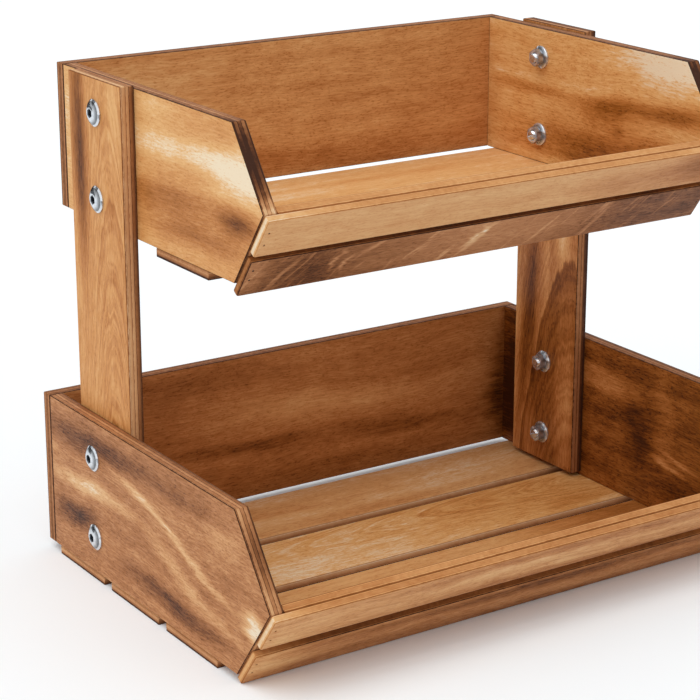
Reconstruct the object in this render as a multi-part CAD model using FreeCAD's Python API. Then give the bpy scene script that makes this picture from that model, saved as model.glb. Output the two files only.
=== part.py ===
import FreeCAD, Part
import math
import os
from collections import namedtuple

# Two-tier fruit basket: two plywood trays with slanted fronts, the upper one narrower, bolted to a
# pair of flat posts. The posts stand outside the upper tray and inside the lower one.
# Millimetres. X runs across, the front faces -Y and Z is up. The origin is on the ground, in the
# middle of the basket's width and depth.

# Board thicknesses, and the small bevel that sanding leaves on every edge
side_thickness = 9.0
post_thickness = 9.0
back_thickness = 9.0
floor_slat_thickness = 5.0
front_slat_thickness = 5.0
edge_ease = 0.5

# Upper tray: width over its sides, height and top depth of a side, and how far its nose stands forward
upper_width = 324.0
upper_height = 88.0
upper_depth = 197.5
upper_nose = 31.0

# Lower tray, whose width follows from the upper one and the posts between them
lower_height = 98.0
lower_depth = 224.5
lower_nose = 36.0

# Height of the upper tray's floor above the lower one's
tier_rise = 214.5

# Posts: the rear edge lies forward of the sides' back edges, the top stands a little above the upper
# sides and the foot hangs on its bolts, clear of the lower floor
post_width = 65.0
post_setback = 24.5
post_proud = 1.5
post_foot_gap = 3.0

# Floor slats lie across under the sides: a slot behind the first, gaps between them, and clear room
# from the last one to the front. The lower tray's three fill its depth, and the upper tray has two
# of the same width set further apart
floor_slot = 7.0
lower_slat_gap = 9.2
lower_front_room = 21.5
upper_front_room = 27.5

# Front slats lie on the slant below the nose, and stop short of the sides' outer faces. A rail of the
# same strip is glued behind the upper one, with a little clearance between the sides
front_slat_width = 28.0
upper_front_gap = 3.5
lower_front_gap = 7.6
front_slat_inset = 1.0
rail_clearance = 0.5

# Flat wire brads that hold the slats and backs to the sides' edges, punched just below the face
brad_width = 1.1
brad_length = 16.0
brad_sink = 0.4
brad_clearance = 0.05

# Bolts: low domed heads with a flat crown around a hexagon socket, two in each joint
bolt_spacing = 51.0
bolt_radius = 3.0
bolt_hole_clearance = 0.25
head_radius = 8.0
head_rim = 0.8
head_height = 3.2
crown_radius = 3.6
socket_across_flats = 4.0
socket_depth = 2.2
tip_proud = 1.4

# Flange nuts on the bolts' inner ends
nut_height = 6.2
nut_across_flats = 10.0
nut_flange_radius = 7.4
nut_flange_rim = 1.0
nut_flange_height = 2.2
nut_clearance = 0.05

# Heights and widths that follow
lower_floor = floor_slat_thickness
upper_floor = lower_floor + tier_rise
lower_width = upper_width + 2 * (post_thickness + side_thickness)
bolt_reach = post_setback + post_width / 2
floor_slat_width = (lower_depth - floor_slot - 2 * lower_slat_gap - lower_front_room) / 3
upper_slat_gap = upper_depth - floor_slot - 2 * floor_slat_width - upper_front_room

Tray = namedtuple("Tray", "name width height depth nose floor slats slat_gap front_gap head_x")
upper = Tray("upper", upper_width, upper_height, upper_depth, upper_nose, upper_floor,
             ("rear", "front"), upper_slat_gap, upper_front_gap, upper_width / 2 + post_thickness)
lower = Tray("lower", lower_width, lower_height, lower_depth, lower_nose, lower_floor,
             ("rear", "middle", "front"), lower_slat_gap, lower_front_gap, lower_width / 2)
trays = (upper, lower)
sides = (("left", -1), ("right", 1))


def slant_length(tray):
    """Length of a side's slanted edge below its nose."""
    return math.hypot(tray.nose, tray.height / 2)


def on_slant(tray, along, out):
    """Point (reach, z) at a distance down the slant from the nose and out from it, square to it."""
    drop = tray.height / 2
    length = slant_length(tray)
    reach = tray.depth + tray.nose - along * tray.nose / length + out * drop / length
    z = tray.floor + drop - along * drop / length - out * tray.nose / length
    return reach, z


# Reach is the distance forward of the sides' back edges. The foremost point is on the eased upper
# corner of a top front slat
eased_corner = ((edge_ease, front_slat_thickness), (0, front_slat_thickness - edge_ease))
front_reach = max(on_slant(tray, along, out)[0] for tray in trays for along, out in eased_corner)
back_edge_y = (back_thickness + front_reach) / 2 - back_thickness


def at(x, reach, z):
    """Point of the basket from its place across, its reach and its height."""
    return FreeCAD.Vector(x, back_edge_y - reach, z)


def board(outline, x_from, x_to):
    """Flat board: an outline of (reach, z) points drawn out across the basket, with eased edges."""
    points = [at(x_from, reach, z) for reach, z in outline]
    face = Part.Face(Part.makePolygon(points + points[:1]))
    solid = face.extrude(FreeCAD.Vector(x_to - x_from, 0, 0))
    return solid.makeChamfer(edge_ease, solid.Edges)


def side_outline(tray):
    """Side panel: upright back, level top, and a front that comes forward to a nose at half height."""
    top = tray.floor + tray.height
    nose = on_slant(tray, 0, 0)
    return [(0, tray.floor), (0, top), (tray.depth, top), nose, (tray.depth, tray.floor)]


def rectangle(reach_from, reach_to, z_from, z_to):
    """Upright rectangle of (reach, z) points."""
    return [(reach_from, z_from), (reach_to, z_from), (reach_to, z_to), (reach_from, z_to)]


def floor_slat_start(tray, index):
    """Reach of a floor slat's rear edge."""
    return floor_slot + index * (floor_slat_width + tray.slat_gap)


def front_slat_start(tray, index):
    """Distance down the slant to a front slat's upper edge."""
    return index * (front_slat_width + tray.front_gap)


def front_slat_outline(tray, index):
    """Front slat: a rectangle on the slanted edge."""
    start = front_slat_start(tray, index)
    end = start + front_slat_width
    corners = ((start, 0), (end, 0), (end, front_slat_thickness), (start, front_slat_thickness))
    return [on_slant(tray, along, out) for along, out in corners]


def front_rail_outline(tray):
    """Rail behind the upper front slat, flush with its upper edge."""
    inner = -front_slat_thickness
    corners = ((0, inner), (front_slat_width, inner), (front_slat_width, 0), (0, 0))
    return [on_slant(tray, along, out) for along, out in corners]


def tray_boards(tray):
    """The boards of one tray by name, before any hole is drilled."""
    half = tray.width / 2
    boards = {}
    for side, sign in sides:
        inner, outer = sign * (half - side_thickness), sign * half
        boards[side + "_side"] = board(side_outline(tray), inner, outer)
    back = rectangle(-back_thickness, 0, tray.floor, tray.floor + tray.height)
    boards["back"] = board(back, -half, half)
    for index, place in enumerate(tray.slats):
        start = floor_slat_start(tray, index)
        outline = rectangle(start, start + floor_slat_width, tray.floor - floor_slat_thickness, tray.floor)
        boards["floor_slat_" + place] = board(outline, -half, half)
    front_half = half - front_slat_inset
    for index, place in enumerate(("top", "bottom")):
        boards["front_slat_" + place] = board(front_slat_outline(tray, index), -front_half, front_half)
    rail_half = half - side_thickness - rail_clearance
    boards["front_rail"] = board(front_rail_outline(tray), -rail_half, rail_half)
    return boards


def thirds(start, end):
    """The two points that divide a stretch in three."""
    step = (end - start) / 3
    return start + step, end - step


def floor_brads(tray, x):
    """Brads driven up through the floor slats: the point on the face, and the way they go."""
    brads = []
    for index in range(len(tray.slats)):
        start = floor_slat_start(tray, index)
        for reach in thirds(start, start + floor_slat_width):
            brads.append((at(x, reach, tray.floor - floor_slat_thickness), FreeCAD.Vector(0, 0, 1)))
    return brads


def back_brads(tray, x):
    """Brads driven forwards through the back panel: one at half height and one each way from it."""
    middle = tray.floor + tray.height / 2
    step = tray.height / 3
    heights = (middle - step, middle, middle + step)
    return [(at(x, -back_thickness, z), FreeCAD.Vector(0, -1, 0)) for z in heights]


def front_brads(tray, x):
    """Brads driven square to the slant through the front slats, where these lie on the side's edge."""
    brads = []
    inward = at(0, *on_slant(tray, 0, -1)) - at(0, *on_slant(tray, 0, 0))
    for index in range(2):
        start = front_slat_start(tray, index)
        end = min(start + front_slat_width, slant_length(tray))
        for along in thirds(start, end):
            brads.append((at(x, *on_slant(tray, along, front_slat_thickness)), inward))
    return brads


def square_wire(width, length, start, way):
    """Square bar with one pair of its sides across the basket."""
    across = FreeCAD.Vector(width / 2, 0, 0)
    over = way.cross(across)
    corners = [start + across + over, start - across + over, start - across - over, start + across - over]
    face = Part.Face(Part.makePolygon(corners + corners[:1]))
    return face.extrude(way * length)


def brad_solid(face_point, way):
    """Headless brad, its top punched below the face."""
    return square_wire(brad_width, brad_length, face_point + way * brad_sink, way)


def brad_hole(face_point, way):
    """Hole that a brad fills but for its clearance, open at the face."""
    depth = brad_sink + brad_length + brad_clearance
    return square_wire(brad_width + 2 * brad_clearance, depth, face_point, way)


def hexagon(across_flats, x_from, x_to):
    """Hexagonal bar along the X axis, with two flats level."""
    corner = across_flats / math.sqrt(3)
    angles = [math.radians(60 * step) for step in range(7)]
    points = [FreeCAD.Vector(x_from, corner * math.cos(a), corner * math.sin(a)) for a in angles]
    face = Part.Face(Part.makePolygon(points))
    return face.extrude(FreeCAD.Vector(x_to - x_from, 0, 0))


def turned(edges):
    """Solid turned about the X axis from the edges of a closed half section."""
    face = Part.Face(Part.Wire(edges))
    return face.revolve(FreeCAD.Vector(0, 0, 0), FreeCAD.Vector(1, 0, 0), 360)


def half_section(points):
    """Straight edges through the (x, radius) points of a half section."""
    corners = [FreeCAD.Vector(x, 0, radius) for x, radius in points]
    return [Part.makeLine(a, b) for a, b in zip(corners, corners[1:])]


def bolt_solid():
    """Bolt along X with its head's seat at the origin, the head towards +X."""
    end = -(post_thickness + side_thickness + nut_height + tip_proud)
    flank = half_section([(head_height, crown_radius), (head_height, 0), (end, 0), (end, bolt_radius),
                          (0, bolt_radius), (0, head_radius), (head_rim, head_radius)])
    centre_x = (head_height ** 2 + crown_radius ** 2 - head_rim ** 2 - head_radius ** 2) / (
        2 * (head_height - head_rim))
    dome_radius = math.hypot(head_height - centre_x, crown_radius)
    half_way = (math.asin(crown_radius / dome_radius) + math.asin(head_radius / dome_radius)) / 2
    middle = FreeCAD.Vector(centre_x + dome_radius * math.cos(half_way), 0, dome_radius * math.sin(half_way))
    rim = FreeCAD.Vector(head_rim, 0, head_radius)
    crown = FreeCAD.Vector(head_height, 0, crown_radius)
    dome = Part.Arc(rim, middle, crown).toShape()
    socket = hexagon(socket_across_flats, head_height - socket_depth, head_height + socket_depth)
    return turned(flank + [dome]).cut(socket)


def nut_solid():
    """Flange nut along X with its seat at the origin, standing towards -X."""
    body = hexagon(nut_across_flats, -nut_height, 0)
    flange = turned(half_section([(0, 0), (0, nut_flange_radius), (-nut_flange_rim, nut_flange_radius),
                                  (-nut_flange_height, nut_across_flats / 2), (-nut_flange_height, 0),
                                  (0, 0)]))
    bore = Part.makeCylinder(bolt_radius + nut_clearance, 2 * nut_height,
                             FreeCAD.Vector(-1.5 * nut_height, 0, 0), FreeCAD.Vector(1, 0, 0))
    return body.fuse(flange).removeSplitter().cut(bore)


def bolt_seats(tray):
    """Each bolt of a tray: the centre of its head's seat, and 1 on the right or -1 on the left."""
    middle = tray.floor + tray.height / 2
    heights = (middle - bolt_spacing / 2, middle + bolt_spacing / 2)
    return [(at(sign * tray.head_x, bolt_reach, z), sign) for _, sign in sides for z in heights]


def placed(solid, seat, sign):
    """Copy of a fastener on its seat, turned to point out of its own side."""
    copy = solid.copy()
    if sign < 0:
        copy.rotate(FreeCAD.Vector(0, 0, 0), FreeCAD.Vector(0, 0, 1), 180)
    copy.translate(seat)
    return copy


def bolt_hole(seat, sign):
    """Hole through a side and a post."""
    depth = side_thickness + post_thickness
    return Part.makeCylinder(bolt_radius + bolt_hole_clearance, depth, seat, FreeCAD.Vector(-sign, 0, 0))


def drilled(solid, holes):
    """Board with each hole cut that meets it."""
    tools = [hole for hole in holes if hole.BoundBox.intersect(solid.BoundBox)]
    return solid.cut(tools) if tools else solid


parts = {}
bolt_holes = []
grip = post_thickness + side_thickness
for tray in trays:
    seats = bolt_seats(tray)
    tray_holes = [bolt_hole(seat, sign) for seat, sign in seats]
    bolt_holes += tray_holes
    bolts = [placed(bolt_solid(), seat, sign) for seat, sign in seats]
    nuts = [placed(nut_solid(), seat - FreeCAD.Vector(sign * grip, 0, 0), sign) for seat, sign in seats]
    parts[tray.name + "_bolts"] = Part.makeCompound(bolts)
    parts[tray.name + "_nuts"] = Part.makeCompound(nuts)
    edge_x = tray.width / 2 - side_thickness / 2
    for group, places in (("floor", floor_brads), ("back", back_brads), ("front", front_brads)):
        brads = [brad for _, sign in sides for brad in places(tray, sign * edge_x)]
        parts[tray.name + "_" + group + "_brads"] = Part.makeCompound([brad_solid(*brad) for brad in brads])
        tray_holes = tray_holes + [brad_hole(*brad) for brad in brads]
    for name, solid in tray_boards(tray).items():
        parts[tray.name + "_" + name] = drilled(solid, tray_holes)

# Posts: flat uprights between the sides of the two trays
post_top = upper_floor + upper_height + post_proud
post_outline = rectangle(post_setback, post_setback + post_width, lower_floor + post_foot_gap, post_top)
for side, sign in sides:
    inner = sign * upper_width / 2
    post = board(post_outline, inner, inner + sign * post_thickness)
    parts[side + "_post"] = drilled(post, bolt_holes)

os.makedirs("parts", exist_ok=True)
for name, shape in parts.items():
    shape.exportStep("parts/" + name + ".step")
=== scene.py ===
import math
from collections import namedtuple

import bmesh
import bpy
from mathutils import Matrix, Vector


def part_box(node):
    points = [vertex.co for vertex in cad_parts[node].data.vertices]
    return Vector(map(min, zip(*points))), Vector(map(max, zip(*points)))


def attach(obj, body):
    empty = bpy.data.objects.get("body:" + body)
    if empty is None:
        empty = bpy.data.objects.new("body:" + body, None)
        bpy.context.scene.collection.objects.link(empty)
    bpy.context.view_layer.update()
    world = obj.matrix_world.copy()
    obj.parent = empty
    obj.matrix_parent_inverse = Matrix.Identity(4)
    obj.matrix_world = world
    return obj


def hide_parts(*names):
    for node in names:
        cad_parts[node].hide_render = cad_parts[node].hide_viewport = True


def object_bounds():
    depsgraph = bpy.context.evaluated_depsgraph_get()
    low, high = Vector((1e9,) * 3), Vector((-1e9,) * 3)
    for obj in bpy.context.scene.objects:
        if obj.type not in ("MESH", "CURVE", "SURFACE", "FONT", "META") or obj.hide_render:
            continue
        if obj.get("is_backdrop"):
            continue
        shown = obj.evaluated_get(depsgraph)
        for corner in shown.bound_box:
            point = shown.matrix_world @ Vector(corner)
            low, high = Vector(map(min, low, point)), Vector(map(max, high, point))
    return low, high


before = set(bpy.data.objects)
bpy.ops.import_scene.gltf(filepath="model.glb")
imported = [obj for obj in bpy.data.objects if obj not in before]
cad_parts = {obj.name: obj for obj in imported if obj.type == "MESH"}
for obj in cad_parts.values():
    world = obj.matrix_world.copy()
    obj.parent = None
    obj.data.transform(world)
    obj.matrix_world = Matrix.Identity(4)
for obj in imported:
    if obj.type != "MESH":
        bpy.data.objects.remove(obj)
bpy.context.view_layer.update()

# Side panels
# Four boards of five-ply, sawn to a front that comes forward to a nose at half height, then torched,
# brushed and varnished. The upper pair sits between the posts, and the lower pair outside them.
mm = 0.001
side_thickness = 9 * mm
panel_ease = 0.7 * mm

# How burnt the wood is, from bare to charred, as colours
cream = (0.84, 0.68, 0.48)
straw = (0.76, 0.43, 0.175)
honey = (0.64, 0.295, 0.097)
tan = (0.47, 0.175, 0.045)
umber = (0.3, 0.097, 0.016)
dark_umber = (0.15, 0.041, 0.006)
char = (0.055, 0.016, 0.005)
torched_tones = ((0.0, cream), (0.18, straw), (0.36, honey), (0.54, tan), (0.72, umber),
                 (0.88, dark_umber), (1.0, char))

# One board's face: which stretch of veneer it is cut from, how burnt it is overall, its torch marks and
# any patches of painted light or shade, how strong its long streaks and its fine texture are, how grey
# its colours have gone, any arched growth lines and any curl
Veneer = namedtuple("Veneer", "cut level marks streaks texture dust arch curl",
                    defaults=((), 1.0, 1.3, 0.0, None, 0.0))

# A mark that the torch left or missed, or a patch of painted light or shade: its middle and half lengths
# in millimetres, along the grain and across it, how much darker it is, and how far it is turned in degrees
Mark = namedtuple("Mark", "along across length width burn turn", defaults=(0,))

# Growth lines that arch over the face: the tip of the arch in millimetres, which way it opens along the
# grain, how fast it narrows, how much darker the wood inside is, and how dark the lines nested in it are
Arch = namedtuple("Arch", "along across way narrowing burn lines")


def new_material(name):
    """New material, with its tree of nodes and its shader."""
    material = bpy.data.materials.new(name)
    material.use_nodes = True
    tree = material.node_tree
    return material, tree, tree.nodes["Principled BSDF"]


def shader_node(tree, kind, inputs=(), **settings):
    """New shader node with its settings, and its sockets' values or links."""
    made = tree.nodes.new("ShaderNode" + kind)
    for name, value in settings.items():
        setattr(made, name, value)
    for key, value in dict(inputs).items():
        if isinstance(value, bpy.types.NodeSocket):
            tree.links.new(value, made.inputs[key])
        else:
            made.inputs[key].default_value = value
    return made


def maths(tree, operation, *values):
    """Result of a sum on numbers or sockets."""
    return shader_node(tree, "Math", enumerate(values), operation=operation).outputs["Value"]


def vectors(tree, operation, *values):
    """Result of a sum on vectors or sockets."""
    return shader_node(tree, "VectorMath", enumerate(values), operation=operation).outputs["Vector"]


def vector_length(tree, vector):
    """Length of a vector."""
    return shader_node(tree, "VectorMath", {0: vector}, operation="LENGTH").outputs["Value"]


def own_place(tree):
    """Each point's place on its own piece."""
    return shader_node(tree, "TexCoord").outputs["Object"]


def noise(tree, place, **inputs):
    """Cloudy pattern, from 0 to 1."""
    return shader_node(tree, "TexNoise", {"Vector": place, **inputs}).outputs["Fac"]


def ramp(tree, factor, stops):
    """Colour that runs through (position, colour) stops."""
    made = shader_node(tree, "ValToRGB", {"Fac": factor})
    marks = made.color_ramp.elements
    while len(marks) < len(stops):
        marks.new(1.0)
    for mark, (position, colour) in zip(marks, stops):
        mark.position = position
        mark.color = (*colour, 1.0)
    return made.outputs["Color"]


def spread(tree, value, low, high, to_low=0.0, to_high=1.0):
    """Soft step of a value from one range to another."""
    ends = {"Value": value, "From Min": low, "From Max": high, "To Min": to_low, "To Max": to_high}
    return shader_node(tree, "MapRange", ends, interpolation_type="SMOOTHSTEP").outputs["Result"]


# The Mix node's sockets for colours, by number because those for numbers have the same names
mix_first, mix_second, mix_result = 6, 7, 2


def mixed(tree, factor, first, second, blend="MIX"):
    """Two colours mixed or multiplied, by a factor."""
    inputs = {"Factor": factor, mix_first: first, mix_second: second}
    return shader_node(tree, "Mix", inputs, data_type="RGBA", blend_type=blend).outputs[mix_result]


def roughened(tree, coat, height, strength, depth):
    """Gives a shader a fine relief."""
    bump = {"Height": height, "Strength": strength, "Distance": depth}
    tree.links.new(shader_node(tree, "Bump", bump).outputs["Normal"], coat.inputs["Normal"])


# Streaks in the wood: how many to the metre along the grain and across it, how many finer sizes of
# streak they break up into, and how much they darken the wood
Streaks = namedtuple("Streaks", "along across detail burn")
broad_streaks = Streaks(2.4, 30, 3, 0.26)
fine_streaks = Streaks(7, 150, 4, 0.26)
mottle = Streaks(45, 75, 4, 0.16)
fibres = Streaks(130, 950, 3, 0.26)
pores = Streaks(380, 1250, 2, 0.1)
frayed_rim = Streaks(16, 230, 3, 0)
streak_roughness = 0.55


def grain(tree, veneer, streaks):
    """Streaks along the grain, from 0 to 1."""
    stretched = vectors(tree, "MULTIPLY", veneer, (streaks.along, streaks.across, streaks.across))
    return noise(tree, stretched, Scale=1.0, Detail=streaks.detail, Roughness=streak_roughness)


def torch_or_painted_mark(tree, place, mark):
    """How much a mark darkens each point: most in its middle, fading out to its rim."""
    spot = {"Vector": place, "Location": (mark.along * mm, mark.across * mm, 0.0),
            "Rotation": (0.0, 0.0, math.radians(mark.turn)),
            "Scale": (mark.length * mm, mark.width * mm, 1.0)}
    local = shader_node(tree, "Mapping", spot, vector_type="TEXTURE").outputs["Vector"]
    return spread(tree, vector_length(tree, local), 0.0, 1.0, mark.burn, 0.0)


def arch_depth(tree, place, arch):
    """How far inside an arch of growth lines each point is, in metres along the grain."""
    parts = shader_node(tree, "SeparateXYZ", {0: place}).outputs
    aside = maths(tree, "SUBTRACT", parts["Y"], arch.across * mm)
    fall = maths(tree, "MULTIPLY", maths(tree, "MULTIPLY", aside, aside), arch.narrowing)
    ahead = maths(tree, "SUBTRACT", parts["X"], arch.along * mm)
    return maths(tree, "MULTIPLY_ADD", ahead, arch.way, maths(tree, "MULTIPLY", fall, -1.0))


# How far one stretch of veneer lies from the next, how far and how often the grain wanders off its
# line, and how far the rims of the marks are frayed
veneer_stride = (1.37, 0.83, 0.59)
veneer_wander = (60 * mm, 14 * mm, 0.0)
wander_pace = {"Scale": 9.0, "Detail": 2.0}
feather_reach = (16 * mm, 3.5 * mm, 0.0)
half_way = (0.5, 0.5, 0.5)


def wood_places(tree, cut):
    """Where a point lies among its board's torch marks, and on the veneer that the board was cut from."""
    place = own_place(tree)
    veneer = vectors(tree, "ADD", place, tuple(cut * step for step in veneer_stride))
    drift = shader_node(tree, "TexNoise", {"Vector": veneer, **wander_pace}).outputs["Color"]
    wander = vectors(tree, "MULTIPLY", vectors(tree, "SUBTRACT", drift, half_way), veneer_wander)
    veneer = vectors(tree, "ADD", veneer, wander)
    ragged = vectors(tree, "SUBTRACT", grain(tree, veneer, frayed_rim), half_way)
    wandered = vectors(tree, "ADD", place, wander)
    feathered = vectors(tree, "MULTIPLY_ADD", ragged, feather_reach, wandered)
    return feathered, veneer


years_to_metre = 110
year_detail = 2.0
year_contrast = (0.4, 0.62)
year_burn = 0.06
arch_rim = 4 * mm
arch_spacing = 46 * mm


def growth_lines(tree, place, arch):
    """How much an arch of growth lines darkens each point: the wood inside it, years and nested lines."""
    depth = arch_depth(tree, place, arch)
    layers = {"W": maths(tree, "MULTIPLY", depth, years_to_metre), "Scale": 1.0, "Detail": year_detail}
    years = shader_node(tree, "TexNoise", layers, noise_dimensions="1D").outputs["Fac"]
    inside = spread(tree, depth, -arch_rim / 2, arch_rim, 0.0, arch.burn)
    burn = maths(tree, "ADD", inside, spread(tree, years, *year_contrast, -year_burn, year_burn))
    off_line = maths(tree, "PINGPONG", depth, arch_spacing / 2)
    return maths(tree, "ADD", burn, spread(tree, off_line, 0.0, arch_rim, arch.lines, 0.0))


curl_turn = 58
curl_slant = (0.0, 0.0, math.radians(curl_turn))
curl_stroke = (30 * mm, 4.5 * mm, 1.0)
curl_detail = 3.0
curl_contrast = (0.54, 0.74)


def curled_figure(tree, veneer, strength):
    """Sparse pale strokes that lie slantwise over the grain."""
    slant = {"Vector": veneer, "Rotation": curl_slant, "Scale": curl_stroke}
    turned = shader_node(tree, "Mapping", slant, vector_type="TEXTURE").outputs["Vector"]
    strokes = noise(tree, turned, Scale=1.0, Detail=curl_detail)
    return spread(tree, strokes, *curl_contrast, 0.0, -strength)


def dusted(tones, dust):
    """Colours gone some way to grey."""
    faded = []
    for position, colour in tones:
        grey = sum(colour) / 3
        faded.append((position, [shade + (grey - shade) * dust for shade in colour]))
    return faded


pore_contrast = (0.52, 0.72)
pore_dip = 0.5
fibre_contrast = (0.3, 0.7)
brushed_strength = 0.3
brushed_depth = 0.25 * mm
varnish_roughness = (0.4, 0.56)
varnish_gloss = 0.14


def torched_veneer(name, veneer):
    """Face of a torched board: how burnt it is, with any painted light and shade, sets its colour, and
    brushing leaves the fibres raised.
    """
    material, tree, coat = new_material(name)
    place, sheet = wood_places(tree, veneer.cut)
    raised = grain(tree, sheet, fibres)
    pits = spread(tree, grain(tree, sheet, pores), *pore_contrast)
    swings = ((grain(tree, sheet, broad_streaks), broad_streaks.burn * veneer.streaks),
              (grain(tree, sheet, fine_streaks), fine_streaks.burn * veneer.streaks),
              (grain(tree, sheet, mottle), mottle.burn * veneer.texture),
              (raised, fibres.burn * veneer.texture),
              (pits, pores.burn * veneer.texture))
    burn = veneer.level - sum(swing for _, swing in swings) / 2
    for streak, swing in swings:
        burn = maths(tree, "MULTIPLY_ADD", streak, swing, burn)
    for mark in veneer.marks:
        burn = maths(tree, "ADD", burn, torch_or_painted_mark(tree, place, mark))
    if veneer.arch:
        burn = maths(tree, "ADD", burn, growth_lines(tree, place, veneer.arch))
    if veneer.curl:
        burn = maths(tree, "ADD", burn, curled_figure(tree, sheet, veneer.curl))
    tree.links.new(ramp(tree, burn, dusted(torched_tones, veneer.dust)), coat.inputs["Base Color"])
    tree.links.new(spread(tree, raised, *fibre_contrast, *varnish_roughness), coat.inputs["Roughness"])
    relief = maths(tree, "MULTIPLY_ADD", pits, -pore_dip, raised)
    roughened(tree, coat, relief, brushed_strength, brushed_depth)
    coat.inputs["Specular IOR Level"].default_value = varnish_gloss
    return material


# The plies of a board from one face to the other, with the way their grain runs and their thickness in
# millimetres, and how dark the glue between them is. A ply shows its long grain on the edges it runs
# along and its darker end grain on the others.
Plies = namedtuple("Plies", "layers glue")
five_ply = Plies((("along", 1.1), ("across", 2.3), ("along", 2.2), ("across", 2.3), ("along", 1.1)),
                 glue=0.85)
long_grain = 0.22
end_grain = 0.38

# Widths on the edge in millimetres, of the glue lines, the scorched arrises and the fade beside them
glue_width = 0.25
arris_width = 0.45
arris_fade = 0.35
arris_scorch = 0.95

# The saw leaves the edge rough and the lines of the plies ragged, and the torch leaves clouds on it
rough_sawn = Streaks(300, 420, 3, 0.26)
ragged_plies = 0.1
edge_clouds = Streaks(16, 16, 3, 0.34)
edge_dust = 0.16
end_turn = (0.3, 0.9)
sawn_contrast = (0.3, 0.7)
sawn_roughness = (0.58, 0.74)
sawn_strength = 0.5
sawn_depth = 0.3 * mm
sawn_gloss = 0.12


def ply_thickness(plies):
    """Thickness of the whole board in millimetres."""
    return sum(thickness for _, thickness in plies.layers)


def ply_stops(plies, shown, scorch):
    """Stops of a ramp of how dark the plies are, where one way of the grain is shown long."""
    whole = ply_thickness(plies)
    stops = [(0.0, scorch), (arris_width / whole, scorch)]
    start = 0.0
    for run, thickness in plies.layers:
        end = start + thickness
        shade = long_grain if run == shown else end_grain
        first = max(start + glue_width, arris_width + arris_fade)
        last = min(end - glue_width, whole - arris_width - arris_fade)
        stops += [(first / whole, shade), (last / whole, shade), (end / whole, plies.glue)]
        start = end
    stops[-1:] = [(1 - arris_width / whole, scorch), (1.0, scorch)]
    return [(position, (shade, shade, shade)) for position, shade in stops]


def ply_edge(name, cut, plies, level, marks=(), scorch=arris_scorch, painted_shade_lean=0.0, dust=edge_dust):
    """Sawn edge of plywood: stripes of the plies, burnt in places and at the arrises, with painted shade
    darker towards one face.
    """
    material, tree, coat = new_material(name)
    place, sheet = wood_places(tree, cut)
    whole = ply_thickness(plies) * mm
    board = shader_node(tree, "TexCoord").outputs
    depth = shader_node(tree, "SeparateXYZ", {0: board["Object"]}).outputs["Z"]
    rough = grain(tree, sheet, rough_sawn)
    share = maths(tree, "MULTIPLY_ADD", depth, 1 / whole, (1 - ragged_plies) / 2)
    share = maths(tree, "MULTIPLY_ADD", rough, ragged_plies, share)
    lengthwise = shader_node(tree, "SeparateXYZ", {0: board["Normal"]}).outputs["X"]
    at_end = spread(tree, maths(tree, "ABSOLUTE", lengthwise), *end_turn)
    along, across = (ramp(tree, share, ply_stops(plies, way, scorch)) for way in ("along", "across"))
    burn = mixed(tree, at_end, along, across)
    start = level - (edge_clouds.burn + rough_sawn.burn - painted_shade_lean) / 2
    clouds = maths(tree, "MULTIPLY_ADD", grain(tree, sheet, edge_clouds), edge_clouds.burn, start)
    burn = maths(tree, "ADD", burn, maths(tree, "MULTIPLY_ADD", rough, rough_sawn.burn, clouds))
    # Painted shade across the edge's thickness: darker towards one face and lighter towards the other
    if painted_shade_lean:
        burn = maths(tree, "MULTIPLY_ADD", share, -painted_shade_lean, burn)
    for mark in marks:
        burn = maths(tree, "ADD", burn, torch_or_painted_mark(tree, place, mark))
    tree.links.new(ramp(tree, burn, dusted(torched_tones, dust)), coat.inputs["Base Color"])
    tree.links.new(spread(tree, rough, *sawn_contrast, *sawn_roughness), coat.inputs["Roughness"])
    roughened(tree, coat, rough, sawn_strength, sawn_depth)
    coat.inputs["Specular IOR Level"].default_value = sawn_gloss
    return material


def set_down(name, data, place=Matrix()):
    """New object in the scene at a place."""
    made = bpy.data.objects.new(name, data)
    made.matrix_world = place
    bpy.context.scene.collection.objects.link(made)
    return made


# How round the eased edges are, and how steep the wood may be that still counts as the board's face
ease_steps = 3
ease_round = 0.5
face_slope = 0.8


def sawn_board(name, outline, thickness, place, face, edge, ease=panel_ease):
    """Board with eased edges: an outline in its own plane, the grain along X and its good face to +Z."""
    board = bmesh.new()
    corners = [board.verts.new((along, across, -thickness / 2)) for along, across in outline]
    underside = board.faces.new(corners)
    lifted = bmesh.ops.extrude_face_region(board, geom=[underside])["geom"]
    top = [part for part in lifted if isinstance(part, bmesh.types.BMVert)]
    bmesh.ops.translate(board, vec=(0.0, 0.0, thickness), verts=top)
    bmesh.ops.recalc_face_normals(board, faces=board.faces)
    bmesh.ops.bevel(board, geom=board.edges[:], offset=ease, segments=ease_steps, profile=ease_round,
                    affect="EDGES")
    for flat in board.faces:
        flat.material_index = 0 if abs(flat.normal.z) > face_slope else 1
        flat.smooth = True
    mesh = bpy.data.meshes.new(name)
    board.to_mesh(mesh)
    board.free()
    mesh.materials.append(face)
    mesh.materials.append(edge)
    return set_down(name, mesh, place)


def rectangle(length, width):
    """Outline of a straight board about its middle."""
    half, side = length / 2, width / 2
    return [(-half, -side), (half, -side), (half, side), (-half, side)]


def laid(middle, along, across):
    """Place of a board by its middle, the way its grain runs and the way across it."""
    turn = Matrix((along, across, along.cross(across))).transposed()
    return Matrix.Translation(middle) @ turn.to_4x4()


def lone_parts(solids):
    """The vertices of each separate body in a mesh."""
    waiting = set(solids.verts)
    while waiting:
        reached = [waiting.pop()]
        for vert in reached:
            fresh = {edge.other_vert(vert) for edge in vert.link_edges} & waiting
            waiting -= fresh
            reached += fresh
        yield reached


hole_swell = 1.08
weld_gap = 0.01 * mm


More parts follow.
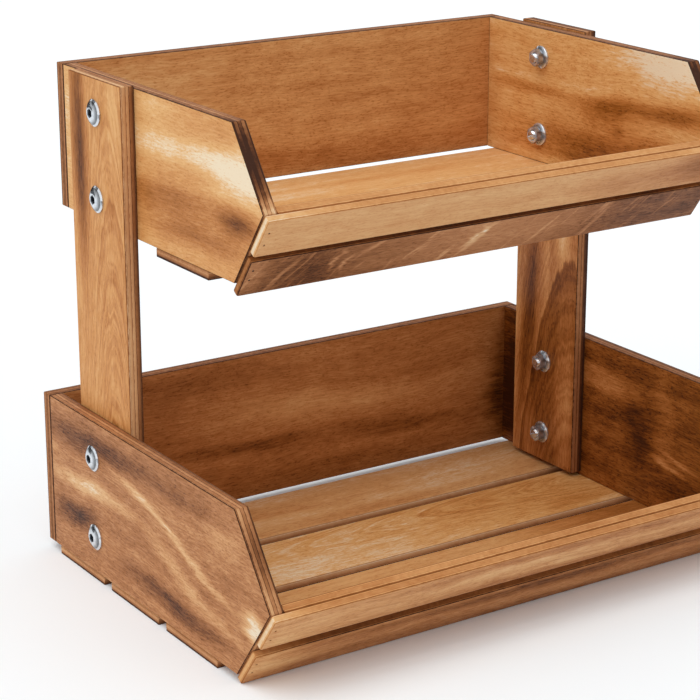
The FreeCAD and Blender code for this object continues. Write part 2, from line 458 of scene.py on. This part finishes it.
def brad_holes(holes, node):
    """Adds the holes of a group of brads: each brad swollen about its own middle, out through the face."""
    brads = bmesh.new()
    brads.from_mesh(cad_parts[node].data)
    bmesh.ops.remove_doubles(brads, verts=brads.verts, dist=weld_gap)
    for brad in lone_parts(brads):
        middle = sum((vert.co for vert in brad), Vector()) / len(brad)
        for vert in brad:
            vert.co = middle + (vert.co - middle) * hole_swell
    swollen = bpy.data.meshes.new("swollen_brads")
    brads.to_mesh(swollen)
    brads.free()
    holes.from_mesh(swollen)
    bpy.data.meshes.remove(swollen)


bolt_hole_radius = 3.25 * mm
hole_steps = 32
head_radius = 8 * mm


def bolt_heights(tray):
    """Heights of a tray's two bolts on each side."""
    low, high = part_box(tray + "_bolts")
    return low.z + head_radius, high.z - head_radius


def bolt_holes(holes, tray):
    """Adds a tray's bolt holes, each drilled straight through both sides."""
    low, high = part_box(tray + "_bolts")
    across = Matrix.Rotation(math.radians(90), 4, "Y")
    for height in bolt_heights(tray):
        spot = Matrix.Translation((0.0, (low.y + high.y) / 2, height)) @ across
        bmesh.ops.create_cone(holes, cap_ends=True, segments=hole_steps, radius1=bolt_hole_radius,
                              radius2=bolt_hole_radius, depth=high.x - low.x, matrix=spot)


def finished(piece):
    """Works a board's cuts into its mesh, and keeps its faces flat up to their eased edges."""
    flats = piece.modifiers.new("flats", "WEIGHTED_NORMAL")
    flats.keep_sharp = True
    bpy.context.view_layer.update()
    whole = piece.evaluated_get(bpy.context.evaluated_depsgraph_get())
    mesh = bpy.data.meshes.new_from_object(whole)
    mesh.name = piece.name
    piece.modifiers.clear()
    piece.data = mesh


def drilled(piece, brads=(), bolts=()):
    """Cuts a board's brad and bolt holes, and finishes it."""
    holes = bmesh.new()
    for node in brads:
        brad_holes(holes, node)
    for tray in bolts:
        bolt_holes(holes, tray)
    for wall in holes.faces:
        wall.material_index = 1
    mesh = bpy.data.meshes.new("holes")
    holes.to_mesh(mesh)
    holes.free()
    cutter = set_down("holes", mesh)
    cut = piece.modifiers.new("holes", "BOOLEAN")
    cut.object = cutter
    cut.solver = "EXACT"
    finished(piece)
    bpy.data.objects.remove(cutter)
    bpy.data.meshes.remove(mesh)


def fitted(piece, node):
    """Sets a piece in the frame in a node's place, and hides the node."""
    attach(piece, "root")
    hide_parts(node)


def tray_of(node):
    """Tray that a node belongs to, by the first word of its name."""
    return node.split("_")[0]


forward, upward = Vector((0, -1, 0)), Vector((0, 0, 1))
rightward, rearward = Vector((1, 0, 0)), Vector((0, 1, 0))
tray_nose = {"upper": 31 * mm, "lower": 36 * mm}
tray_depth = {"upper": 197.5 * mm, "lower": 224.5 * mm}
brad_groups = ("floor_brads", "back_brads", "front_brads")

side_veneers = {
    "upper_left_side": Veneer(1, 0.41, (
        Mark(15, 17, 130, 13, -0.26),
        Mark(94, 13, 58, 25, -0.34),
        Mark(10, -12, 85, 17, 0.26),
        Mark(88, -12, 38, 15, 0.44),
        Mark(45, -28, 95, 13, 0.26),
        Mark(-6, 36, 55, 15, -0.14),
        Mark(-110, 10, 40, 90, -0.18),
    ), streaks=0.6),
    "upper_right_side": Veneer(2, 0.34, (
        Mark(72, 38, 80, 24, -0.36),
        Mark(-65, 4, 65, 8, 0.26),
        Mark(20, 2, 65, 15, 0.46, turn=5),
        Mark(80, 8, 45, 12, 0.36, turn=8),
        Mark(20, -26, 150, 24, 0.58),
        Mark(24, -10, 9, 5, 0.2),
    ), texture=1.8, dust=-0.04),
    "lower_left_side": Veneer(3, 0.62, (
        Mark(-14, 19, 80, 5, -0.26, turn=-10),
        Mark(50, 2, 90, 5, -0.34, turn=-16),
        Mark(-80, 3, 80, 10, -0.44),
        Mark(40, -13, 90, 10, -0.26, turn=-15),
        Mark(-100, -19, 48, 13, 0.42),
        Mark(-40, -38, 70, 9, 0.06),
        Mark(30, -34, 95, 12, 0.34, turn=-3),
        Mark(-75, 32, 90, 17, 0.36),
        Mark(15, 36, 110, 14, 0.18),
        Mark(80, 28, 40, 14, -0.12),
        # Painted highlight: a pale glare on the nose, just below its tip
        Mark(121, -14, 17, 16, -0.6),
    ), streaks=0.8, texture=1.9, dust=0.12),
    "lower_right_side": Veneer(4, 0.84, (
        # Painted shade: the rear end darkened, for the corner between the back and the post
        Mark(-122, 0, 30, 90, 0.3),
        Mark(46, 14, 16, 60, -0.12),
        Mark(17, 0, 22, 60, 0.12),
        Mark(48, -17, 34, 3, -0.3, turn=-14),
        Mark(56, -12, 30, 2.5, -0.24, turn=-12),
        Mark(-16, 26, 44, 18, -0.18),
        Mark(24, -8, 20, 16, 0.14),
        Mark(70, -30, 60, 16, 0.14),
    ), streaks=1.8, texture=1.9),
}
side_edge_burn = {"upper_left_side": 0.24, "upper_right_side": 0.34,
                  "lower_left_side": 0.24, "lower_right_side": 0.36}
# Painted shade across the sides' sawn edges: the upper pair's darker towards the left face, the lower
# pair's towards the right
side_edge_painted_shade = {"upper": -0.15, "lower": 0.25}
slant_marks = {"upper": (Mark(98, 26, 46, 36, 0.52), Mark(118, 2, 13, 13, -0.4)),
               "lower": (Mark(113, 26, 30, 26, 0.2), Mark(131, 0, 14, 14, -0.2))}


def side_outline(depth, nose, height):
    """Side panel about its middle, from its upright back edge forward to a nose at half height."""
    back = -(depth + nose) / 2
    half = height / 2
    return [(back, -half), (back + depth, -half), (-back, 0.0), (back + depth, half), (back, half)]


for node, veneer in side_veneers.items():
    tray = tray_of(node)
    low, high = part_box(node)
    depth, nose = tray_depth[tray], tray_nose[tray]
    middle = Vector(((low.x + high.x) / 2, high.y - (depth + nose) / 2, (low.z + high.z) / 2))
    face = torched_veneer(node + "_veneer", veneer)
    edge = ply_edge(node + "_plies", veneer.cut, five_ply, side_edge_burn[node], slant_marks[tray],
                    painted_shade_lean=side_edge_painted_shade[tray])
    outline = side_outline(depth, nose, high.z - low.z)
    place = laid(middle, forward, upward)
    side = sawn_board(node + "_board", outline, side_thickness, place, face, edge)
    drilled(side, [tray + "_" + group for group in brad_groups], [tray])
    fitted(side, node)

# Back panels
# One board of the same five-ply across the rear edges of each pair of sides, torched like them and
# nailed on from behind.
back_thickness = 9 * mm
back_edge_burn = 0.36
back_veneers = {
    "upper_back": Veneer(5, 0.47, (
        Mark(-115, 10, 60, 40, -0.2),
        Mark(20, -33, 220, 14, 0.16),
        Mark(120, 0, 60, 40, 0.04),
    ), texture=1.7, dust=0.02),
    "lower_back": Veneer(6, 0.6, (
        Mark(-120, 20, 80, 40, 0.05),
        Mark(5, 8, 150, 17, -0.16, turn=-3),
        Mark(-45, -13, 110, 8, 0.2, turn=-5),
        Mark(85, -20, 100, 9, 0.2, turn=-6),
        Mark(20, -42, 230, 26, 0.16),
        Mark(-80, 38, 120, 15, 0.12),
        # Painted shade: the right end darkened, for the corner against the right side
        Mark(172, -10, 16, 70, 0.34),
    ), streaks=1.1, texture=1.5, dust=0.04),
}
for node, veneer in back_veneers.items():
    tray = tray_of(node)
    low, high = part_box(node)
    face = torched_veneer(node + "_veneer", veneer)
    edge = ply_edge(node + "_plies", veneer.cut, five_ply, back_edge_burn)
    outline = rectangle(high.x - low.x, high.z - low.z)
    place = laid((low + high) / 2, rightward, upward)
    back = sawn_board(node + "_board", outline, back_thickness, place, face, edge)
    drilled(back, [tray + "_back_brads"])
    fitted(back, node)

# Floor slats
# Strips of thin three-ply laid across under the sides, three below and two above, nailed up into the
# sides' bottom edges. Their sawn long edges are left raw and show the plies.
slat_thickness = 5 * mm
floor_slat_ease = 0.3 * mm
three_ply = Plies((("along", 1.2), ("across", 2.6), ("along", 1.2)), glue=0.5)
floor_edge_burn = {"upper": 0.14, "lower": 0.06}
floor_edge_scorch = 0.65
# Painted shade across the slats' sawn edges: darker towards the underside, lighter towards the top
floor_edge_painted_shade = 0.75
floor_end_burn = 0.26
end_mark_length, end_mark_width = 50, 80
floor_veneers = {
    "upper_floor_slat_rear": Veneer(7, 0.25, (
        Mark(60, 0, 160, 12, 0.1),
        Mark(-60, -10, 120, 14, -0.06),
    )),
    "upper_floor_slat_front": Veneer(8, 0.4),
    "lower_floor_slat_rear": Veneer(9, 0.29, (
        Mark(-60, 5, 90, 18, 0.1),
        Mark(20, -24, 170, 10, 0.1),
        Mark(90, 0, 110, 40, -0.06),
    ), streaks=1.1, texture=1.7, dust=0.04),
    "lower_floor_slat_middle": Veneer(10, 0.25, (
        Mark(-40, 27, 130, 8, 0.14),
        # Painted light: paler at the left front, where more light falls
        Mark(-55, -12, 130, 20, -0.1),
        Mark(130, -16, 70, 20, 0.16),
        Mark(90, 0, 120, 40, 0.13),
    ), streaks=1.1, texture=1.9, dust=-0.06, arch=Arch(40, 14, 1, 250, burn=0.07, lines=0.12)),
    "lower_floor_slat_front": Veneer(11, 0.36, (
        Mark(-150, 10, 60, 40, 0.3),
        Mark(155, 20, 110, 50, 0.36),
    ), streaks=1.4),
}


def end_marks(node, burn):
    """Marks that darken or lighten both ends of a slat."""
    low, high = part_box(node)
    reach = (high.x - low.x) / 2 / mm
    return [Mark(end * reach, 0, end_mark_length, end_mark_width, burn) for end in (-1, 1)]


for node, veneer in floor_veneers.items():
    tray = tray_of(node)
    low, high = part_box(node)
    face = torched_veneer(node + "_veneer", veneer)
    edge = ply_edge(node + "_plies", veneer.cut, three_ply, floor_edge_burn[tray],
                    end_marks(node, floor_end_burn), floor_edge_scorch, floor_edge_painted_shade)
    outline = rectangle(high.x - low.x, high.y - low.y)
    place = laid((low + high) / 2, rightward, rearward)
    slat = sawn_board(node + "_board", outline, slat_thickness, place, face, edge, floor_slat_ease)
    drilled(slat, [tray + "_floor_brads"])
    fitted(slat, node)

# Front slats
# Two narrow strips of the thin ply on the slanted front edges of each tray, a little shorter than the
# tray is wide, with well-sanded edges and brads punched just below the face near their ends.
front_slat_width = 28 * mm
front_slat_ease = 1.1 * mm
front_edge_burn = {"upper_front_slat_top": 0.0, "upper_front_slat_bottom": 0.5,
                   "lower_front_slat_top": 0.1, "lower_front_slat_bottom": 0.4}
front_end_burn = {"upper_front_slat_top": -0.2, "upper_front_slat_bottom": -0.1,
                  "lower_front_slat_top": -0.25, "lower_front_slat_bottom": -0.35}
front_edge_scorch = 0.6
front_edge_dust = 0.06
front_veneers = {
    "upper_front_slat_top": Veneer(12, 0.35, (
        Mark(120, 0, 110, 24, 0.2),
        Mark(150, 6, 45, 30, 0.24),
    ), streaks=0.8, texture=1.1, dust=0.12),
    "upper_front_slat_bottom": Veneer(13, 0.88, (
        Mark(-166, 4, 30, 30, -0.2),
        Mark(-110, 0, 34, 30, 0.1),
        Mark(0, 4, 120, 60, -0.3),
        Mark(-94, 2, 16, 2.5, -0.3, turn=curl_turn),
        Mark(-88, -2, 14, 2, -0.24, turn=curl_turn),
        Mark(-12, 6, 16, 2.5, -0.26, turn=curl_turn),
    ), streaks=0.8, texture=1.4, dust=0.2, curl=0.24),
    "lower_front_slat_top": Veneer(14, 0.43, (
        Mark(-150, 0, 40, 20, -0.08),
        Mark(20, 2, 200, 5, -0.14),
        Mark(0, 10, 210, 6, 0.16),
        Mark(30, -11, 230, 6, 0.22),
    ), streaks=2.0, texture=1.6, dust=0.1),
    "lower_front_slat_bottom": Veneer(15, 0.62, (
        Mark(-165, 0, 50, 24, -0.2),
        Mark(40, 9, 250, 7, 0.3),
        Mark(60, -11, 240, 7, 0.14),
    ), streaks=1.8, texture=1.5, dust=0.08),
}


def front_slant(tray):
    """Way up a tray's slanted front, square to its width."""
    low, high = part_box(tray + "_left_side")
    drop = (high.z - low.z) / 2
    return (forward * tray_nose[tray] + upward * drop).normalized()


for node, veneer in front_veneers.items():
    tray = tray_of(node)
    low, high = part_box(node)
    face = torched_veneer(node + "_veneer", veneer)
    edge = ply_edge(node + "_plies", veneer.cut, three_ply, front_edge_burn[node],
                    end_marks(node, front_end_burn[node]), front_edge_scorch, dust=front_edge_dust)
    outline = rectangle(high.x - low.x, front_slat_width)
    place = laid((low + high) / 2, rightward, front_slant(tray))
    slat = sawn_board(node + "_board", outline, slat_thickness, place, face, edge, front_slat_ease)
    drilled(slat, [tray + "_front_brads"])
    fitted(slat, node)

# Front rails
# One more strip of the thin ply glued to the back of each tray's top front slat, between the sides and
# flush with its upper edge, so that the tray's lip is twice as thick.
rail_edge_burn = {"upper": 0.02, "lower": 0.08}
rail_veneers = {"upper_front_rail": Veneer(18, 0.4), "lower_front_rail": Veneer(19, 0.5)}
for node, veneer in rail_veneers.items():
    tray = tray_of(node)
    low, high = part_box(node)
    face = torched_veneer(node + "_veneer", veneer)
    edge = ply_edge(node + "_plies", veneer.cut, three_ply, rail_edge_burn[tray],
                    scorch=front_edge_scorch, dust=front_edge_dust)
    outline = rectangle(high.x - low.x, front_slat_width)
    place = laid((low + high) / 2, rightward, front_slant(tray))
    rail = sawn_board(node + "_board", outline, slat_thickness, place, face, edge)
    finished(rail)
    fitted(rail, node)

# Posts
# Two upright strips of five-ply between the sides of the trays, bolted through them. Their faces show
# arched growth lines, and their sawn edges the plies.
post_thickness = 9 * mm
post_edge_burn = {"left_post": 0.16, "right_post": 0.42}
# Painted shade across the posts' sawn edges: darker towards their right-hand faces
post_edge_painted_shade = 0.7
post_veneers = {
    "left_post": Veneer(16, 0.44, (
        Mark(110, 19, 110, 14, 0.5),
        Mark(130, -23, 50, 13, -0.16),
        Mark(-80, 10, 110, 14, -0.06),
    ), streaks=0.8, texture=1.1, arch=Arch(82, -16, -1, 150, burn=0.03, lines=0.1)),
    "right_post": Veneer(17, 0.6, (
        Mark(-90, 32, 160, 8, -0.2),
        Mark(-50, 17, 125, 12, 0.38, turn=-4),
        Mark(-96, 10, 36, 6, 0.12),
        Mark(-150, 14, 32, 14, -0.18),
        Mark(16, -18, 26, 12, -0.36),
        Mark(-95, -22, 100, 18, -0.22),
        Mark(-125, -28, 60, 20, -0.14),
        Mark(-10, 0, 70, 8, -0.16),
    ), streaks=0.8, texture=1.4, dust=0.02, arch=Arch(4, -28, -1, 60, burn=0.2, lines=0.0)),
}
for node, veneer in post_veneers.items():
    low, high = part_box(node)
    face = torched_veneer(node + "_veneer", veneer)
    edge = ply_edge(node + "_plies", veneer.cut, five_ply, post_edge_burn[node], painted_shade_lean=post_edge_painted_shade)
    outline = rectangle(high.z - low.z, high.y - low.y)
    place = laid((low + high) / 2, upward, rearward)
    post = sawn_board(node + "_board", outline, post_thickness, place, face, edge)
    drilled(post, bolts=("upper", "lower"))
    fitted(post, node)

# Brads
# Headless flat wire pins, punched below the wood's face by a nail gun and a little tarnished. They
# stay as they are in the frame.
brad_bright, brad_dull = (0.3, 0.29, 0.28), (0.1, 0.085, 0.075)
tarnish_clouds = {"Scale": 900.0, "Detail": 3.0}
tarnish_stops = (0.35, 0.65)
tarnish_contrast = (0.3, 0.7)
brad_roughness = (0.6, 0.4)


def tarnished_wire(name):
    """Bare steel wire, dull in spots."""
    material, tree, coat = new_material(name)
    tarnish = noise(tree, own_place(tree), **tarnish_clouds)
    tones = tuple(zip(tarnish_stops, (brad_dull, brad_bright)))
    tree.links.new(ramp(tree, tarnish, tones), coat.inputs["Base Color"])
    tree.links.new(spread(tree, tarnish, *tarnish_contrast, *brad_roughness), coat.inputs["Roughness"])
    coat.inputs["Metallic"].default_value = 1.0
    return material


brad_wire = tarnished_wire("brad_wire")
for tray in ("upper", "lower"):
    for group in brad_groups:
        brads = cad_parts[tray + "_" + group]
        brads.data.materials.clear()
        brads.data.materials.append(brad_wire)

# Bolts
# Eight zinc-plated bolts with low domed heads, pushed through side and post from the outside. The
# crown is flat around a hexagon socket, and the end that takes the nut is threaded.
head_rim = 0.8 * mm
head_height = 3.2 * mm
crown_radius = 3.6 * mm
rim_bevel = 0.15 * mm
socket_flats = 4 * mm
socket_depth = 2.2 * mm
socket_bevel = 0.55 * mm
socket_point = 0.5 * mm
bolt_radius = 3 * mm
thread_pitch = 1 * mm
thread_depth = 0.5 * mm
rings_to_pitch = 5
tip_proud = 1.4 * mm
tip_bevel = 0.3 * mm
nut_height = 6.2 * mm
turn_steps = 48
sharp_turn = math.radians(35)


def hexagon_radius(flats, angle):
    """Distance from the middle of a hexagon to its rim, at an angle."""
    sixth = math.pi / 3
    return flats / 2 / math.cos(angle % sixth - sixth / 2)


def turned_solid(name, rings, tips=None):
    """Solid about the Z axis from rings that end in two tips, or that join up from last to first.
    A ring is a function of the angle that gives a radius and a height."""
    solid = bmesh.new()
    angles = [2 * math.pi * step / turn_steps for step in range(turn_steps)]
    loops = []
    for ring in rings:
        points = [(angle, *ring(angle)) for angle in angles]
        loops.append([solid.verts.new((radius * math.cos(angle), radius * math.sin(angle), height))
                      for angle, radius, height in points])
    bands = list(zip(loops, loops[1:]))
    if tips is None:
        bands.append((loops[-1], loops[0]))
    for inner, outer in bands:
        for step in range(turn_steps):
            after = (step + 1) % turn_steps
            solid.faces.new((inner[step], inner[after], outer[after], outer[step]))
    for loop, height in zip((loops[0], loops[-1]), tips or ()):
        tip = solid.verts.new((0.0, 0.0, height))
        for step in range(turn_steps):
            solid.faces.new((loop[step], loop[(step + 1) % turn_steps], tip))
    bmesh.ops.recalc_face_normals(solid, faces=solid.faces)
    for flat in solid.faces:
        flat.smooth = True
    mesh = bpy.data.meshes.new(name)
    solid.to_mesh(mesh)
    solid.free()
    mesh.set_sharp_from_angle(angle=sharp_turn)
    return mesh


def even(radius, height):
    """Round ring."""
    return lambda angle: (radius, height)


def six_sided(flats, height):
    """Hexagonal ring."""
    return lambda angle: (hexagon_radius(flats, angle), height)


def threaded(height):
    """Ring of a bolt's thread, where the ridge winds up by one pitch in a turn."""
    def ring(angle):
        share = (height / thread_pitch - angle / (2 * math.pi)) % 1.0
        return bolt_radius - thread_depth * abs(2 * share - 1), height
    return ring


def painted_ring_shade(tree, place, tone, painted_shades):
    """Colour darkened in rings about the axis, each a radius and a shade, as painted shade and painted
    reflections.
    """
    away = vector_length(tree, vectors(tree, "MULTIPLY", place, (1.0, 1.0, 0.0)))
    stops = [(radius / head_radius, (shade, shade, shade)) for radius, shade in painted_shades]
    rings = ramp(tree, maths(tree, "MULTIPLY", away, 1 / head_radius), stops)
    return mixed(tree, 1.0, tone, rings, "MULTIPLY")


plating_clouds = {"Scale": 350.0, "Detail": 4.0}
plating_stops = (0.3, 0.7)
plating_contrast = (0.35, 0.7)
turning_marks = {"Scale": 900.0, "Distortion": 1.0, "Detail": 1.0}
turning_strength = 0.12
turning_depth = 0.05 * mm


def plated(name, bright, dull, smooth, worn, metal, painted_shades=()):
    """Zinc plating, slightly clouded, with faint turning marks and any painted shade and reflections in
    rings.
    """
    material, tree, coat = new_material(name)
    place = own_place(tree)
    cloud = noise(tree, place, **plating_clouds)
    tone = ramp(tree, cloud, tuple(zip(plating_stops, (dull, bright))))
    if painted_shades:
        tone = painted_ring_shade(tree, place, tone, painted_shades)
    tree.links.new(tone, coat.inputs["Base Color"])
    tree.links.new(spread(tree, cloud, *plating_contrast, smooth, worn), coat.inputs["Roughness"])
    rings = {"Vector": place, **turning_marks}
    turning = shader_node(tree, "TexWave", rings, wave_type="RINGS", rings_direction="Z").outputs["Fac"]
    roughened(tree, coat, turning, turning_strength, turning_depth)
    coat.inputs["Metallic"].default_value = metal
    return material


# The head's dome is part of a ball, from the edge of the flat crown down to the rim
dome_drop = head_height - head_rim
crown_reach = head_height ** 2 + crown_radius ** 2
rim_reach = head_rim ** 2 + head_radius ** 2
dome_centre = (crown_reach - rim_reach) / (2 * dome_drop)
dome_radius = math.hypot(head_height - dome_centre, crown_radius)
dome_from, dome_to = math.asin(crown_radius / dome_radius), math.asin(head_radius / dome_radius)
dome_steps = 6

bolt_end = -(post_thickness + side_thickness + nut_height + tip_proud)
bolt_tip = bolt_end - tip_bevel
thread_start = bolt_end + nut_height + 2 * tip_proud
thread_rings = rings_to_pitch * round((thread_start - bolt_end) / thread_pitch)
socket_floor = head_height - socket_depth

bolt_rings = [six_sided(socket_flats, socket_floor),
              six_sided(socket_flats, head_height - socket_bevel),
              six_sided(socket_flats + 2 * socket_bevel, head_height)]
for step in range(dome_steps + 1):
    slope = dome_from + (dome_to - dome_from) * step / dome_steps
    bolt_rings.append(even(dome_radius * math.sin(slope), dome_centre + dome_radius * math.cos(slope)))
bolt_rings += [even(head_radius, rim_bevel), even(head_radius - rim_bevel, 0.0),
               even(bolt_radius, 0.0), even(bolt_radius, thread_start + thread_pitch / 2)]
for step in range(thread_rings + 1):
    bolt_rings.append(threaded(thread_start + (bolt_end - thread_start) * step / thread_rings))
bolt_rings.append(even(bolt_radius - 2 * thread_depth, bolt_tip))
bolt_mesh = turned_solid("bolt", bolt_rings, (socket_floor - socket_point, bolt_tip))

# The plating is bright outside; inside the socket, up to just below its mouth, it is painted near black as
# painted shade in the recess
bright_zinc, dull_zinc = (0.84, 0.86, 0.89), (0.56, 0.59, 0.63)
socket_shade_light, socket_shade_dark = (0.13, 0.14, 0.16), (0.04, 0.045, 0.055)
socket_mouth = head_height - socket_bevel / 4
# Painted shade and painted dark reflections on the head: the dome darkens out to a dark ring just inside
# the bright rim
head_painted_shade = ((4.2 * mm, 1.0), (5.8 * mm, 0.4), (6.7 * mm, 0.24), (7.1 * mm, 1.0))
bolt_mesh.materials.append(plated("bolt_plating", bright_zinc, dull_zinc, smooth=0.1, worn=0.2,
                                  metal=0.9, painted_shades=head_painted_shade))
bolt_mesh.materials.append(plated("bolt_socket_painted_shade", socket_shade_light, socket_shade_dark, smooth=0.3,
                                  worn=0.5, metal=0.9))
for flat in bolt_mesh.polygons:
    inside = flat.center.xy.length < crown_radius
    flat.material_index = int(inside and 0.0 < flat.center.z < socket_mouth)

# How far from the middle the heads and the nuts sit against the wood
post_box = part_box("left_post")
lower_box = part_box("lower_left_side")
upper_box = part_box("upper_left_side")
head_seat = {"upper": -post_box[0].x, "lower": -lower_box[0].x}
nut_seat = {"upper": -upper_box[1].x, "lower": -post_box[1].x}


def facing(way):
    """Turn that points a fastener's head out of its side: left is -1 and right is 1."""
    return Matrix.Rotation(math.radians(90 * way), 4, "Y")


def fastened(mesh, tray, kind, seats):
    """Sets a fastener on each of a tray's four seats."""
    low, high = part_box(tray + "_bolts")
    for side, way in (("left", -1), ("right", 1)):
        for place, height in zip(("low", "high"), bolt_heights(tray)):
            seat = Vector((way * seats[tray], (low.y + high.y) / 2, height))
            spot = Matrix.Translation(seat) @ facing(way)
            piece = set_down("_".join((tray, side, kind, place)), mesh, spot)
            fitted(piece, tray + "_" + kind + "s")


for tray in ("upper", "lower"):
    fastened(bolt_mesh, tray, "bolt", head_seat)

# Nuts
# Zinc-plated flange nuts on the bolts' inner ends, drawn up against the wood. Their outer corners are
# bevelled and the flange slopes to a thin rim.
nut_flats = 10 * mm
nut_corner = 5.35 * mm
nut_bevel = math.radians(30)
flange_radius = 7.4 * mm
flange_rim = 1 * mm
flange_height = 2.2 * mm
flange_shoulder = 0.9 * mm
flat_foot = 0.2 * mm
bore_clearance = 0.05 * mm
bore_bevel = 0.5 * mm
nut_bore = bolt_radius + bore_clearance


def bevel_foot(angle):
    """Ring where the nut's outer bevel meets its flats, lowest at the corners."""
    radius = hexagon_radius(nut_flats, angle)
    return radius, -nut_height + max(0.0, radius - nut_corner) * math.tan(nut_bevel)


def bevel_top(angle):
    """Ring where the outer bevel meets the nut's flat end."""
    return min(hexagon_radius(nut_flats, angle), nut_corner), -nut_height


nut_rings = [even(nut_bore, 0.0), even(flange_radius - rim_bevel, 0.0),
             even(flange_radius, -rim_bevel), even(flange_radius, -flange_rim),
             even(nut_flats / 2 + flange_shoulder, -flange_height),
             six_sided(nut_flats, -flange_height - flat_foot), bevel_foot, bevel_top,
             even(nut_bore + bore_bevel, -nut_height), even(nut_bore, -nut_height + bore_bevel)]
nut_mesh = turned_solid("nut", nut_rings)
nut_bright, nut_dull = (0.94, 0.96, 0.99), (0.44, 0.48, 0.55)
# Painted shade and painted dark reflections on the nut: darkest about the hexagon's corners and the foot
# of the flange, bright again at the flange's rim
nut_painted_shade = ((4.6 * mm, 1.0), (5.6 * mm, 0.35), (6.6 * mm, 0.7), (7.0 * mm, 1.0))
nut_mesh.materials.append(plated("nut_plating", nut_bright, nut_dull, smooth=0.12, worn=0.26,
                                 metal=0.72, painted_shades=nut_painted_shade))
for tray in ("upper", "lower"):
    fastened(nut_mesh, tray, "nut", nut_seat)

# Floor and light
# A plain white studio floor under one very broad, soft light from above on the left, and even white
# light all round. Dark cards that only reflections show give the bright metal something to mirror.
floor_reach = 20.0
floor_white = (0.945, 0.97, 0.985)
card_black = (0.02, 0.022, 0.028)
paper_roughness = 0.9
paper_gloss = 0.1


def staged_sheet(name, corners, colour):
    """Flat sheet of the studio, in a plain matt colour."""
    mesh = bpy.data.meshes.new(name)
    mesh.from_pydata(corners, [], [(0, 1, 2, 3)])
    sheet = set_down(name, mesh)
    paper, _, coat = new_material(name + "_paper")
    coat.inputs["Base Color"].default_value = (*colour, 1.0)
    coat.inputs["Roughness"].default_value = paper_roughness
    coat.inputs["Specular IOR Level"].default_value = paper_gloss
    mesh.materials.append(paper)
    sheet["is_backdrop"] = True
    return sheet


quarters = ((-1, -1), (1, -1), (1, 1), (-1, 1))
staged_sheet("floor", [(x * floor_reach, y * floor_reach, 0.0) for x, y in quarters], floor_white)

# Two dark cards stand behind on the left, one over the other, and a third lies in front on the left
card_left, card_right = (-1.6, 1.0), (0.35, 1.9)
low_card_corners = ((-1.6, -0.9), (-0.3, -0.9), (-0.3, 0.03), (-1.6, -0.1))
low_card_lift = 2 * mm


def standing(bottom, top):
    """Corners of a card that stands behind on the left."""
    return [(*card_left, bottom), (*card_right, bottom), (*card_right, top), (*card_left, top)]


cards = {"back_card": standing(0.12, 0.62), "high_card": standing(0.85, 1.8),
         "low_card": [(x, y, low_card_lift) for x, y in low_card_corners]}
for name, corners in cards.items():
    card = staged_sheet(name, corners, card_black)
    card.visible_camera = False
    card.visible_diffuse = False
    card.visible_shadow = False

# The white all round is a little weaker as light than it looks
studio_white = (0.96, 0.985, 1.0, 1.0)
light_level, seen_level = 0.76, 1.0
studio = bpy.data.worlds.new("studio")
bpy.context.scene.world = studio
studio.use_nodes = True
studio_tree = studio.node_tree
seen = shader_node(studio_tree, "LightPath").outputs
shown = maths(studio_tree, "MAXIMUM", seen["Is Camera Ray"], seen["Is Glossy Ray"])
shown = maths(studio_tree, "MAXIMUM", shown, seen["Is Transmission Ray"])
white = studio_tree.nodes["Background"]
white.inputs["Color"].default_value = studio_white
strength = spread(studio_tree, shown, 0.0, 1.0, light_level, seen_level)
studio_tree.links.new(strength, white.inputs["Strength"])

light_from = Vector((-0.5, -0.1, 1.0))
light_strength = 1.25
light_width = math.radians(55)
soft_light = bpy.data.lights.new("soft_light", "SUN")
soft_light.energy = light_strength
soft_light.angle = light_width
lamp = set_down("soft_light", soft_light)
lamp.rotation_euler = light_from.to_track_quat("Z", "Y").to_euler()

# Camera
# A long lens from the front left, a little above the basket. Its place, its turns and its focal length
# were fitted to the edges of the boards in the photograph.
camera_spot = (-0.7335, -1.0550, 0.5477)
camera_turn = -33.242
camera_dip = 17.814
focal_length = 113.85
sensor_width = 36.0
lens = bpy.data.cameras.new("camera")
lens.lens = focal_length
lens.sensor_width = sensor_width
camera = set_down("camera", lens)
camera.location = camera_spot
camera.rotation_euler = (math.radians(90 - camera_dip), 0.0, math.radians(camera_turn))
bpy.context.scene.camera = camera
bpy.context.scene.view_settings.view_transform = "Standard"

# Bounds of the dressed basket
low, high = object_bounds()
